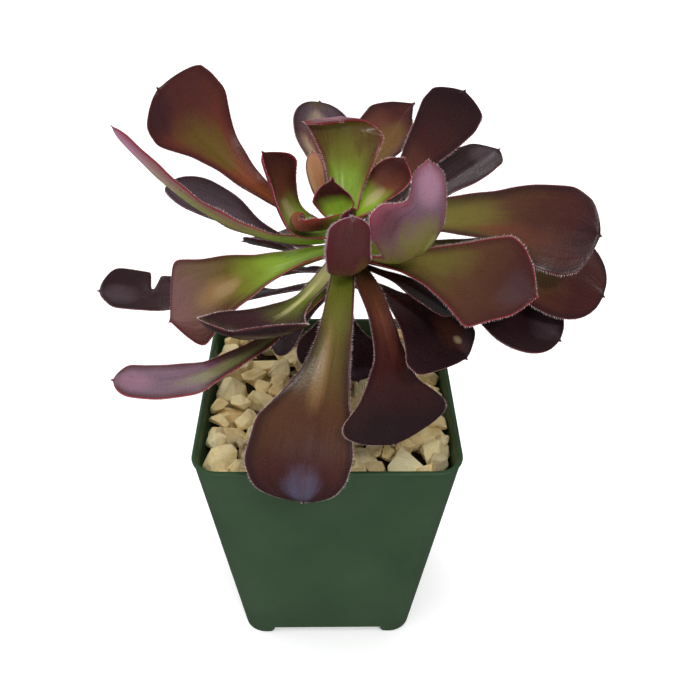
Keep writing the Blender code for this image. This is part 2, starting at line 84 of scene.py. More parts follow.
ROWS = 76  # mesh rows from a leaf's foot to its tip
ROW_CROWDING = 1.7  # over 1, rows lie closer together towards the tip
COLUMNS = 22  # mesh columns across a leaf
MIDRIB_STEPS = 200
OUTLINE_STEPS = 400
ROUNDING = 16  # how many of those steps a corner of an outline is eased over, each way
FOOT_START = 2.2  # how far from the stem's middle a leaf's mesh starts
CORNER = 5.0  # how far before a blunt tip its corners turn
POINT = 0.8  # length of the small point at a tip
POINT_WIDTH = 0.6  # half its width where it starts
WAVE_LENGTH = 14.0  # of the ripples along a margin
FOOT_THICKNESS, BLADE_THICKNESS = 2.6, 1.4
SHARE_ABOVE = 0.38  # of the thickness, above the middle surface
FULL_WIDTH = 9  # a leaf narrower than this is thinner too
TORN_LEAF = "leaf_far_left"


class Leaf(NamedTuple):
    """One leaf. Angles run from the stem to the tip, and a positive roll lifts the left side.

    cup is how far each margin turns up, at the foot and at the tip.
    hook is where along the leaf its tip starts to curl over the upper face, and by how much in all.
    slant pushes the left side of the blade forward and the right side back, as a share of its half width.
    """

    name: str
    height: float
    azimuth: float
    sweep: float
    pitch: tuple
    length: float
    width: float
    roll: tuple
    cup: tuple
    outline: Outline
    skin: str
    hook: tuple = (0.8, 0)
    slant: float = 0.0
    wave: float = 0.6  # how far the margins ripple
    cilia: float = 0.85  # length of the fringe


LEAVES = (
    Leaf(
        "leaf_upper_left", 159, 158, 18, (7, 44, 56), 75, 26, (-10, -45), (40, 15), PADDLE, "rust",
        (0.8, 0), -0.1,
    ),
    Leaf("leaf_left_long", 159, 179, -3, (-20, 44, 55), 84, 14, (75, 40), (30, 10), PADDLE, "rose"),
    Leaf("leaf_left_behind", 149, 160, 4, (8, 18, 22), 65, 22, (0, 0), (40, 30), PADDLE, "grey"),
    Leaf("leaf_left_small", 148, 154, 0, (4, 0, -5), 38, 14, (20, 30), (30, 20), PADDLE, "plum"),
    Leaf("leaf_far_left", 143, 163, 28, (-26, -10, 20), 86, 27, (0, 0), (30, 10), PADDLE, "plum"),
    Leaf("leaf_left_squared", 154, 190, 0, (-10, -14, -38), 63, 33, (0, -15), (40, 10), SQUARE, "lime"),
    Leaf("leaf_left_spoon", 153, 231, 8, (-25, -20, 50), 62, 36, (0, 15), (30, 30), PADDLE, "spoon"),
    Leaf("leaf_lower_left", 149, 238, -52, (-22, -28, 20), 88, 22, (5, 0), (30, 10), PADDLE, "lilac"),
    Leaf("leaf_shaded_left", 141, 192, 0, (-40, -50, -40), 34, 20, (0, 0), (20, 10), PADDLE, "plum"),
    Leaf("leaf_shaded_front_left", 146, 246, 4, (-40, -58, -60), 36, 18, (0, 0), (20, 10), PADDLE, "plum"),
    Leaf("leaf_shaded_front", 140, 288, 0, (-45, -60, -65), 33, 20, (0, 0), (20, 10), PADDLE, "plum"),
    Leaf("leaf_front", 153, 264, -18, (-8, -45, -80), 87, 35, (0, -20), (35, 10), PADDLE, "bronze"),
    Leaf("leaf_front_right", 152, 301, -27, (-10, -50, -70), 67, 36, (-4, -36), (30, 10), FAN, "maroon"),
    Leaf("leaf_right_low", 142, 332, -14, (4, -20, -28), 50, 27, (0, 0), (30, 10), PADDLE, "scarred"),
    Leaf("leaf_right_shaded", 149, 329, 6, (8, -20, -28), 40, 16, (0, -10), (30, 20), PADDLE, "maroon"),
    Leaf("leaf_right_squared", 153, 330, -4, (5, 10, -3), 65.5, 34, (10, 40), (30, 10), KITE, "olive"),
    Leaf("leaf_right_broad", 157, 352, -10, (20, 9, -4), 80, 31, (10, 52), (30, 10), WEDGE, "broad"),
    Leaf("leaf_far_right", 156, 355, -12, (6, -5, -22), 85, 32, (0, 30), (30, 10), PADDLE, "brown"),
    Leaf("leaf_right_under", 151, 344, -12, (0, -14, -20), 74, 26, (0, 20), (30, 10), PADDLE, "plum"),
    Leaf("leaf_back_right_tall", 161, 37, -8, (18, 40, 57), 60, 20, (0, 30), (30, 10), PADDLE, "maroon"),
    Leaf("leaf_back_right", 157, 24, 4, (12, 24, 24), 61, 20, (0, 0), (30, 10), PADDLE, "plum"),
    Leaf(
        "leaf_back_left", 156, 100, -2, (8, 36, 36), 61, 21, (0, 0), (30, 10), PADDLE, "mottled_and_sheen",
        (0.8, 0), 0.25,
    ),
    Leaf("leaf_back_brown", 160, 80, -34, (20, 29, 21), 61, 22, (0, 10), (30, 10), PADDLE, "brown"),
    Leaf("leaf_back_low", 148, 88, 4, (0, -20, -30), 66, 26, (0, 0), (30, 10), PADDLE, "plum"),
    Leaf("leaf_back_deep", 153, 66, 0, (-5, 5, -10), 64, 28, (0, 0), (30, 10), PADDLE, "maroon"),
    Leaf("leaf_back_far", 155, 123, 0, (-10, -26, -32), 60, 26, (0, 0), (30, 10), PADDLE, "bronze"),
    Leaf("leaf_back_side", 145, 132, 0, (-20, -25, -40), 58, 25, (0, 0), (30, 10), PADDLE, "plum"),
    Leaf(
        "young_leaf_back", 164, 94, 0, (45, 60, 80), 35, 26, (0, 0), (40, 10), YOUNG, "crown",
        (0.82, 140), 0.18,
    ),
    Leaf("young_leaf_sliver", 162, 148, 0, (20, 88, 80), 27, 6, (0, -50), (30, 10), YOUNG, "cream"),
    Leaf(
        "young_leaf_left", 161, 189, -4, (-25, 92, 74), 43, 15, (0, -40), (15, 50), YOUNG, "bud",
        (0.8, 0), 0.15,
    ),
    Leaf("young_leaf_right", 164, 25, 0, (20, 46, 54), 28, 19, (0, 20), (50, 30), YOUNG, "bud"),
    Leaf(
        "young_leaf_front", 160, 274, 0, (-65, 63, 107), 47, 16, (20, 0), (30, 30), SPOON, "wine",
        cilia=1.0,
    ),
    Leaf(
        "young_leaf_front_right", 164, 310, 0, (-48, 62, 112), 67, 18, (0, -50), (20, 65), SPOON, "pink",
        cilia=1.2,
    ),
    Leaf(
        "young_leaf_rolled", 164, 226, -8, (10, 13, 13), 30, 7, (60, 35), (50, 60), YOUNG, "scroll",
        (0.56, 330),
    ),
    Leaf("heart_leaf_small", 160, 310, 0, (50, 75, 90), 11, 6, (0, 0), (50, 30), YOUNG, "moss"),
    Leaf(
        "heart_leaf", 164, 150, 0, (45, 92, 84), 15, 13, (-30, -50), (50, 30), YOUNG, "heart",
        (0.85, 0), 0.3,
    ),
)

# Half widths of the left and right sides of an uneven leaf: (share of its length, width)
SIDES = {
    "leaf_upper_left": (
        (
            (0, 2), (0.2, 2), (0.35, 2.3), (0.5, 3.6), (0.62, 4.8), (0.72, 7), (0.8, 10.5),
            (0.86, 13), (0.93, 12), (1, 7),
        ),
        (
            (0, 2), (0.2, 2.3), (0.35, 3.2), (0.5, 5.5), (0.62, 8.5), (0.72, 13), (0.8, 16.6),
            (0.89, 16.6), (0.96, 15), (1, 12),
        ),
    ),
    "leaf_left_long": (
        ((0, 2), (0.3, 2), (0.5, 3.2), (0.7, 5), (0.88, 6), (0.95, 5.5), (1, 4)),
        ((0, 2), (0.3, 2), (0.5, 2.8), (0.7, 2.2), (0.85, 2.4), (0.95, 3.5), (1, 3)),
    ),
    "leaf_far_left": (
        ((0, 2), (0.3, 2), (0.5, 5), (0.65, 7.5), (0.85, 10), (0.95, 10), (1, 6)),
        ((0, 2), (0.3, 2), (0.5, 6), (0.6, 10), (0.75, 12), (0.86, 14.5), (0.94, 15.5), (1, 9)),
    ),
    "leaf_left_squared": (
        (
            (0, 3), (0.15, 3.5), (0.3, 5.5), (0.45, 10), (0.6, 15), (0.74, 19), (0.82, 22),
            (0.87, 18.5), (0.93, 11), (1, 3),
        ),
        (
            (0, 3), (0.15, 4), (0.3, 6), (0.45, 8), (0.6, 12), (0.75, 16.5), (0.85, 20.5),
            (0.88, 20), (0.92, 13), (0.96, 7.5), (1, 2.5),
        ),
    ),
    "leaf_lower_left": (
        ((0, 2), (0.3, 2), (0.45, 2), (0.6, 4.5), (0.72, 9.5), (0.85, 9.5), (0.95, 8), (1, 7)),
        ((0, 2), (0.3, 2.5), (0.5, 4), (0.7, 6), (0.85, 8), (0.95, 8), (1, 5)),
    ),
    "leaf_front": (
        (
            (0, 3.2), (0.1, 4), (0.2, 5), (0.3, 6), (0.4, 7), (0.5, 8), (0.6, 9.5), (0.7, 11.5),
            (0.8, 13.5), (0.9, 12.3), (1, 7),
        ),
        (
            (0, 3.2), (0.2, 3.5), (0.3, 3.6), (0.4, 4), (0.5, 6), (0.6, 10.8), (0.7, 17.6),
            (0.85, 19.5), (0.92, 17), (1, 11),
        ),
    ),
    "leaf_front_right": (
        (
            (0, 3), (0.3, 4), (0.4, 4.5), (0.5, 5.5), (0.6, 7), (0.7, 9), (0.77, 15.5), (0.84, 21),
            (0.9, 21.5), (0.95, 16), (1, 9),
        ),
        (
            (0, 3), (0.3, 4), (0.4, 4.5), (0.5, 5.5), (0.6, 7), (0.7, 12), (0.77, 17.5),
            (0.83, 25.5), (0.88, 24), (0.92, 18.5), (0.97, 11), (1, 6),
        ),
    ),
    "leaf_right_low": (
        ((0, 2.5), (0.2, 3), (0.4, 5), (0.6, 9), (0.8, 12), (0.9, 11), (1, 5)),
        ((0, 2.5), (0.2, 3), (0.4, 5), (0.6, 12), (0.8, 23), (0.9, 22), (1, 11)),
    ),
    "leaf_right_squared": (
        (
            (0, 3), (0.2, 3.5), (0.35, 5.5), (0.5, 8), (0.65, 12), (0.79, 15.8), (0.86, 13.5),
            (0.93, 8.5), (1, 3),
        ),
        (
            (0, 3), (0.2, 3.5), (0.35, 5), (0.5, 8), (0.62, 11.5), (0.7, 14.5), (0.77, 17.2),
            (0.85, 12.5), (0.95, 7.5), (1, 4),
        ),
    ),
    "leaf_right_broad": (
        (
            (0, 3.5), (0.2, 6), (0.3, 8.5), (0.4, 9.5), (0.6, 10.8), (0.75, 12.8), (0.88, 13.2),
            (0.95, 10), (1, 6),
        ),
        ((0, 3), (0.4, 3), (0.5, 4.5), (0.6, 6.5), (0.7, 10), (0.78, 13.5), (0.88, 14.6), (0.96, 12), (1, 7)),
    ),
    "leaf_back_right_tall": (
        ((0, 2), (0.3, 2.5), (0.5, 5), (0.7, 8.3), (0.85, 10.5), (0.95, 9.5), (1, 6)),
        ((0, 2), (0.3, 2.5), (0.5, 5), (0.7, 8.5), (0.85, 10.8), (0.95, 10), (1, 6)),
    ),
    "leaf_back_right": (
        ((0, 2), (0.3, 2.5), (0.5, 7), (0.7, 11), (0.85, 12), (0.95, 9.5), (1, 4)),
        ((0, 2), (0.3, 2.5), (0.5, 5.5), (0.7, 8), (0.85, 8.5), (0.95, 7.5), (1, 4)),
    ),
    "leaf_back_brown": (
        ((0, 2), (0.3, 2.5), (0.5, 7), (0.7, 11.5), (0.85, 11.5), (0.95, 6), (1, 2)),
        ((0, 2), (0.3, 2.5), (0.5, 6), (0.65, 9), (0.8, 9), (0.9, 3.5), (1, 0.5)),
    ),
    "young_leaf_back": (
        ((0, 4), (0.3, 4), (0.6, 6), (0.8, 9.5), (0.9, 12), (1, 17)),
        ((0, 4), (0.3, 7), (0.6, 11), (0.8, 13.5), (1, 12)),
    ),
    "young_leaf_left": (
        ((0, 3), (0.2, 4.5), (0.35, 8.5), (0.48, 10.5), (0.6, 5.5), (0.72, 2), (0.9, 2), (1, 2)),
        ((0, 4), (0.25, 6), (0.5, 8.5), (0.7, 9.5), (0.85, 10.5), (0.95, 9), (1, 5)),
    ),
    "young_leaf_right": (
        ((0, 4), (0.3, 7), (0.7, 6.8), (0.9, 5), (1, 3.5)),
        ((0, 4), (0.3, 8), (0.7, 9.5), (0.9, 9), (1, 5)),
    ),
    "young_leaf_front": (
        ((0, 3), (0.35, 7), (0.5, 7.2), (0.75, 5.8), (0.93, 5.6), (1, 5)),
        ((0, 3), (0.38, 3.5), (0.5, 7), (0.75, 8), (0.93, 7), (1, 6)),
    ),
    "young_leaf_front_right": (
        ((0, 3), (0.45, 7), (0.6, 6), (0.8, 5), (0.93, 4.5), (1, 3)),
        ((0, 3), (0.4, 5), (0.5, 14), (0.62, 17), (0.73, 15), (0.8, 7.5), (0.95, 6), (1, 5)),
    ),
    "young_leaf_rolled": (
        ((0, 3), (0.5, 3), (1, 2.5)),
        ((0, 3), (0.3, 5), (0.5, 5.5), (0.62, 3.2), (1, 2.5)),
    ),
    "heart_leaf": (
        ((0, 2), (0.3, 6), (0.6, 8.5), (0.85, 5), (1, 0.5)),
        ((0, 4), (0.3, 6), (0.6, 5.5), (0.85, 3), (1, 0.5)),
    ),
}


def stem_centre(z):
    heights = [row[2] for row in STEM]
    return np.array([np.interp(z, heights, [row[axis] for row in STEM]) for axis in range(3)])


def along_bend(values, t):
    foot, middle, tip = values
    return (1 - t) ** 2 * foot + 2 * t * (1 - t) * middle + t**2 * tip


def ease(t):
    return t * t * (3 - 2 * t)


def swell(t):
    return t**3 * (t * (6 * t - 15) + 10)


def leaf_directions(leaf, t):
    """Unit vectors along the midrib, to the leaf's left side and out of its upper face."""
    yaw = np.radians(leaf.azimuth + leaf.sweep * t)
    pitch = np.radians(along_bend(leaf.pitch, t))
    roll = np.radians(leaf.roll[0] + (leaf.roll[1] - leaf.roll[0]) * ease(t))[:, None]
    forward = np.stack([np.cos(yaw) * np.cos(pitch), np.sin(yaw) * np.cos(pitch), np.sin(pitch)], 1)
    level = np.stack([-np.sin(yaw), np.cos(yaw), 0 * yaw], 1)
    upright = np.cross(forward, level)
    side = level * np.cos(roll) + upright * np.sin(roll)
    face = upright * np.cos(roll) - level * np.sin(roll)
    curl = np.radians(leaf.hook[1]) * np.clip((t - leaf.hook[0]) / (1 - leaf.hook[0]), 0, 1) ** 1.3
    curl = curl[:, None]
    ahead = forward * np.cos(curl) + face * np.sin(curl)
    return ahead, side, face * np.cos(curl) - forward * np.sin(curl)


def midrib(leaf, t):
    fine = np.linspace(0, 1, MIDRIB_STEPS + 1)
    forward = leaf_directions(leaf, fine)[0]
    steps = (forward[1:] + forward[:-1]) / 2 * leaf.length / MIDRIB_STEPS
    path = np.vstack([np.zeros(3), np.cumsum(steps, axis=0)]) + stem_centre(leaf.height)
    return np.stack([np.interp(t, fine, path[:, axis]) for axis in range(3)], 1)


def run_through(points, t):
    """A rounded line through (share of length, width) points."""
    fine = np.linspace(0, 1, OUTLINE_STEPS + 1)
    line = np.interp(fine, [p[0] for p in points], [p[1] for p in points])
    window = np.hanning(2 * ROUNDING + 1)
    mirrored_end = 2 * line[-1] - line[-2 : -ROUNDING - 2 : -1]
    padded = np.concatenate([np.full(ROUNDING, line[0]), line, mirrored_end])
    return np.interp(t, fine, np.convolve(padded, window / window.sum(), "valid"))


def half_width(leaf, t, side=0):
    """Half width in millimetres on the left (side 0) or the right (1), with a small point at the very tip."""
    share = np.clip(t / (1 - POINT / leaf.length), 0, 1)
    if leaf.name in SIDES:
        end = np.clip((1 - share) * leaf.length / CORNER, 0, 1)
        half = run_through(SIDES[leaf.name][side], share) * (1 - (1 - end) ** 2) ** 0.5
    else:
        shape = leaf.outline
        rise = shape.petiole + (1 - shape.petiole) * swell(np.clip(share / shape.widest, 0, 1) ** shape.flare)
        fall = np.clip((share - shape.widest) / (1 - shape.widest), 0, 1)
        end = (1 - fall**shape.tip) ** (1 / shape.tip)
        half = np.where(share < shape.widest, rise, end) * leaf.width / 2
    spike = POINT_WIDTH * np.clip((1 - t) * leaf.length / POINT, 0.15, 1)
    return np.maximum(half, spike)


def notch(leaf, t):
    """What a torn leaf's right side keeps of its width, 1 everywhere on a whole leaf."""
    if leaf.name != TORN_LEAF:
        return np.ones(len(t))
    middle, spread, depth = 0.8, 0.028, 0.62
    return 1 - depth * np.exp(-(((t - middle) / spread) ** 4))


def torn_lobe(leaf, t, across):
    """How far the lobe past the tear leans back over it, in millimetres along the leaf."""
    if leaf.name != TORN_LEAF:
        return 0.0
    middle, spread, reach = 0.86, 0.05, 4.0
    lean = -reach * np.exp(-(((t - middle) / spread) ** 2))
    return lean[:, None] * np.minimum(across[None, :], 0.0) ** 2


def margin_wave(cycles, slow, fast, phases):
    return np.sin(cycles * slow + phases[0]) + 0.6 * np.sin(cycles * fast + phases[1])


def leaf_surface(leaf, t, across, rng):
    """Middle surface and its outward direction: a row for each t, a column for each place across."""
    ahead, side, face = leaf_directions(leaf, t)
    bend = np.radians(leaf.cup[0] + (leaf.cup[1] - leaf.cup[0]) * t)[:, None]
    half_right = half_width(leaf, t, 1) * notch(leaf, t)
    half = np.where(across > 0, half_width(leaf, t)[:, None], half_right[:, None])
    turn = bend * across[None, :]
    out = half * np.sin(turn) / bend
    lift = half * (1 - np.cos(turn)) / bend
    edge = np.abs(across[None, :]) ** 3
    phase = rng.uniform(0, 6.28, 4)
    cycles = t[:, None] * leaf.length / WAVE_LENGTH
    left = margin_wave(cycles, 3.1, 6.7, phase[:2])
    right = margin_wave(cycles, 3.4, 6.1, phase[2:])
    ripple = np.where(across[None, :] > 0, left, right) * leaf.wave * edge * np.sin(np.pi * t[:, None]) * 0.6
    crease_depth, crease_spread = 0.35, 0.12
    crease = -crease_depth * np.exp(-((across[None, :] / crease_spread) ** 2)) * np.minimum(1, half / 8)
    height = lift + ripple + crease
    push = leaf.slant * out * np.clip(t * 1.6 - 0.5, 0, 1)[:, None] + torn_lobe(leaf, t, across)
    points = midrib(leaf, t)[:, None] + side[:, None] * out[..., None] + face[:, None] * height[..., None]
    points = points + ahead[:, None] * push[..., None]
    normal = face[:, None] * np.cos(turn)[..., None] - side[:, None] * np.sin(turn)[..., None]
    return points, normal


def tube_faces(rings, count):
    """Faces of a closed tube of rings, each with the same count of points, and of its two ends."""
    faces = []
    for ring in range(rings - 1):
        start, above = ring * count, (ring + 1) * count
        for k in range(count):
            j = (k + 1) % count
            faces.append((start + k, start + j, above + j, above + k))
    faces.append(tuple(range(count))[::-1])
    faces.append(tuple((rings - 1) * count + k for k in range(count)))
    return faces


def leaf_mesh(leaf, rng):
    """Vertices, faces, per-vertex values, rows and middle surface of a leaf with a rounded section."""
    first = FOOT_START / leaf.length
    row = np.linspace(0, 1, ROWS + 1)
    t = 1 - (1 - first) * (1 - row) ** ROW_CROWDING
    across = np.sin(np.linspace(-1, 1, COLUMNS + 1) * math.pi / 2)
    middle, normal = leaf_surface(leaf, t, across, rng)
    half = (half_width(leaf, t) + half_width(leaf, t, 1))[:, None] / 2
    full = np.clip(half * 2 / FULL_WIDTH, 0.25, 1)
    thinning = (FOOT_THICKNESS - BLADE_THICKNESS) * np.clip(t * 2.2, 0, 1)
    thick = (FOOT_THICKNESS - thinning)[:, None] * full
    profile = np.sqrt(np.clip(1 - across**2, 0, 1))[None, :] ** 0.7
    upper = middle + normal * (thick * profile * SHARE_ABOVE)[..., None]
    lower = middle - normal * (thick * profile * (1 - SHARE_ABOVE))[..., None]
    loop = np.concatenate([upper, lower[:, -2:0:-1]], 1)
    place = np.concatenate([across, across[-2:0:-1]])
    count = len(place)
    rows = len(t)
    side_up = np.concatenate([np.ones(COLUMNS + 1), np.zeros(COLUMNS - 1)])
    side_up[0] = side_up[COLUMNS] = 0.5
    gap = (1 - np.abs(place))[None, :] * half
    to_tip = ((1 - t) * leaf.length)[:, None] + 0 * gap
    edge = np.minimum(gap, to_tip + 0.3)
    values = {
        "along": np.repeat(t, count),
        "across": np.tile(place, rows),
        "upper": np.tile(side_up, rows),
        "edge": edge.ravel(),
    }
    return list(loop.reshape(-1, 3)), tube_faces(rows, count), values, t, middle


def add_cilia(leaf, vertices, faces, values, t, middle, rng):
    """Fine pale hairs along both margins, each a thin three-sided spike."""
    start = len(faces)
    first, spacing, half_thick, sunk = leaf.length * 0.12, 1.05 - 0.5 * leaf.cilia, 0.12, 0.15
    for column, sign in ((0, -1), (-1, 1)):
        line = middle[:, column]
        lengths = np.concatenate([[0], np.cumsum(np.linalg.norm(np.diff(line, axis=0), axis=1))])
        spots = np.arange(first, lengths[-1] - 0.2, spacing)
        spots = spots + rng.uniform(-0.15, 0.15, len(spots))
        inner = middle[:, column + 3 * (1 if column == 0 else -1)]
        for s in spots:
            base = np.array([np.interp(s, lengths, line[:, k]) for k in range(3)])
            ahead = np.array([np.interp(s + 0.5, lengths, line[:, k]) for k in range(3)]) - base
            within = np.array([np.interp(s, lengths, inner[:, k]) for k in range(3)])
            outward = base - within
            outward = outward / np.linalg.norm(outward)
            ahead = ahead / (np.linalg.norm(ahead) + 1e-9)
            tall = leaf.cilia * rng.uniform(0.6, 1.2)
            tip = base + (outward + ahead * rng.uniform(0.1, 0.7)) * tall
            cross = np.cross(outward, ahead)
            n = len(vertices)
            base = base - outward * sunk
            back = base - ahead * 0.1
            vertices += [base + ahead * 0.15, back + cross * half_thick, back - cross * half_thick, tip]
            faces += [(n, n + 1, n + 3), (n + 1, n + 2, n + 3), (n + 2, n, n + 3)]
            place = float(np.interp(s, lengths, t))
            for key, value in (("along", place), ("across", float(sign)), ("upper", 0.5), ("edge", 0.0)):
                values[key] = np.append(values[key], [value] * 4)
    return start


def add_piece(name, vertices, faces, materials, node, values=None, which=None, smooth=True):
    """Adds a mesh given in millimetres from the pot's axis, riding on the root body."""
    mesh = bpy.data.meshes.new(name)
    points = (np.array(vertices) - MIDDLE) * MM
    mesh.from_pydata(points.tolist(), [], [tuple(int(i) for i in face) for face in faces])
    for key, value in (values or {}).items():
        layer = mesh.attributes.new(key, "FLOAT", "POINT")
        layer.data.foreach_set("value", np.asarray(value, np.float32))
    for material in materials:
        mesh.materials.append(material)
    if which is not None:
        mesh.polygons.foreach_set("material_index", np.asarray(which, np.int32))
    if smooth:
        mesh.shade_smooth()
    mesh.validate()
    obj = bpy.data.objects.new(name, mesh)
    bpy.context.scene.collection.objects.link(obj)
    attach(obj, "root")
    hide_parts(node)
    return obj


# ---------------------------------------------------------------- finishes

def srgb(red, green, blue):
    """A colour given as 0 to 255 display values, made linear."""
    def linear(value):
        value = value / 255
        return value / 12.92 if value <= 0.04045 else ((value + 0.055) / 1.055) ** 2.4
    return (linear(red), linear(green), linear(blue), 1.0)


class Value:
    """A number that varies over a surface. Sums on it add Math nodes."""

    def __init__(self, finish, socket):
        self.finish = finish
        self.socket = socket

    def maths(self, operation, *inputs):
        return self.finish.node("ShaderNodeMath", {"operation": operation}, dict(enumerate(inputs)))

    def __add__(self, other):
        return self.maths("ADD", self, other)

    def __radd__(self, other):
        return self.maths("ADD", other, self)

    def __sub__(self, other):
        return self.maths("SUBTRACT", self, other)

    def __rsub__(self, other):
        return self.maths("SUBTRACT", other, self)

    def __mul__(self, other):
        return self.maths("MULTIPLY", self, other)

    def __rmul__(self, other):
        return self.maths("MULTIPLY", other, self)

    def between(self, low, high):
        """0 at low, 1 at high, with an eased run between."""
        return self.finish.node(
            "ShaderNodeMapRange",
            {"interpolation_type": "SMOOTHSTEP"},
            {"Value": self, "From Min": low, "From Max": high},
        )


class Finish:
    """A Principled material and the one way of adding a node to it."""

    def __init__(self, name, **constants):
        self.material = bpy.data.materials.new(name)
        self.material.use_nodes = True
        self.tree = self.material.node_tree
        self.shader = self.tree.nodes["Principled BSDF"]
        for key, value in constants.items():
            self.shader.inputs[key.replace("_", " ")].default_value = value

    def feed(self, socket, value):
        if isinstance(value, Value):
            self.tree.links.new(value.socket, socket)
        else:
            socket.default_value = value

    def node(self, kind, settings=None, inputs=None, output=0):
        node = self.tree.nodes.new(kind)
        for key, value in (settings or {}).items():
            if key == "stops":
                self.set_stops(node, value)
            else:
                setattr(node, key, value)
        for key, value in (inputs or {}).items():
            self.feed(node.inputs[key], value)
        return Value(self, node.outputs[output])

    @staticmethod
    def set_stops(node, stops):
        ramp = node.color_ramp
        ramp.elements[0].position, ramp.elements[0].color = stops[0]
        ramp.elements[1].position, ramp.elements[1].color = stops[-1]
        for position, colour in stops[1:-1]:
            ramp.elements.new(position).color = colour

    def ramp(self, value, stops):
        return self.node("ShaderNodeValToRGB", {"stops": stops}, {"Fac": value})

    def attribute(self, name):
        return self.node("ShaderNodeAttribute", {"attribute_name": name}, output="Fac")

    def place(self):
        return self.node("ShaderNodeTexCoord", output="Object")

    def noise(self, scale, detail=2.0, roughness=0.5, where=None):
        return self.node(
            "ShaderNodeTexNoise",
            {"noise_dimensions": "3D"},
            {"Vector": where or self.place(), "Scale": scale, "Detail": detail, "Roughness": roughness},
        )

    def join(self, x, y, z):
        return self.node("ShaderNodeCombineXYZ", {}, {"X": x, "Y": y, "Z": z})

    def mix(self, amount, first, second, blend="MIX"):
        return self.node(
            "ShaderNodeMix",
            {"data_type": "RGBA", "blend_type": blend},
            {0: amount, 6: first, 7: second},
            output=2,
        )

    def bump(self, height, distance, strength=1.0):
        return self.node("ShaderNodeBump", {}, {"Height": height, "Distance": distance, "Strength": strength})

    def finish(self, **sockets):
        for key, value in sockets.items():
            self.feed(self.shader.inputs[key.replace("_", " ")], value)
        return self.material


class Skin(NamedTuple):
    """A leaf's colours: foot to tip on the upper face, then on the lower, near the margin and at its edge.

    Each patch is a colour, its place along and across the leaf, its reach each way and how strong it is. Some
    patches are the leaf's own markings; others are painted highlights, a painted glint, painted sheen or a
    painted shadow.
    """

    upper: tuple
    under: tuple
    rim: tuple
    line: tuple
    patches: tuple = ()


# Leaf colours. In the patches below GOLD and SAND also serve as painted highlights, GLINT as a painted glint,
# CHOCOLATE as a painted shadow and PINK partly as painted sheen.
LIME, MOSS, OLIVE = srgb(146, 178, 52), srgb(112, 126, 40), srgb(108, 92, 34)
BRONZE, RUST, UMBER = srgb(92, 58, 34), srgb(150, 78, 34), srgb(116, 64, 46)
MAROON, PLUM, SOOT = srgb(70, 30, 28), srgb(62, 34, 40), srgb(42, 22, 26)
GREY, MAUVE, ROSE = srgb(88, 70, 78), srgb(112, 72, 88), srgb(140, 72, 92)
LILAC, PINK, CREAM = srgb(124, 98, 112), srgb(186, 132, 156), srgb(226, 216, 150)
BLUSH, RED, BERRY, WINE = srgb(206, 146, 104), srgb(150, 34, 50), srgb(92, 34, 42), srgb(88, 42, 42)
GOLD, CHESTNUT, SAND, GLINT = srgb(168, 128, 78), srgb(122, 56, 40), srgb(214, 188, 150), srgb(150, 152, 196)
FERN, SAGE = srgb(124, 122, 42), srgb(150, 162, 88)
ROSEWOOD, CHOCOLATE = srgb(120, 84, 80), srgb(84, 42, 38)

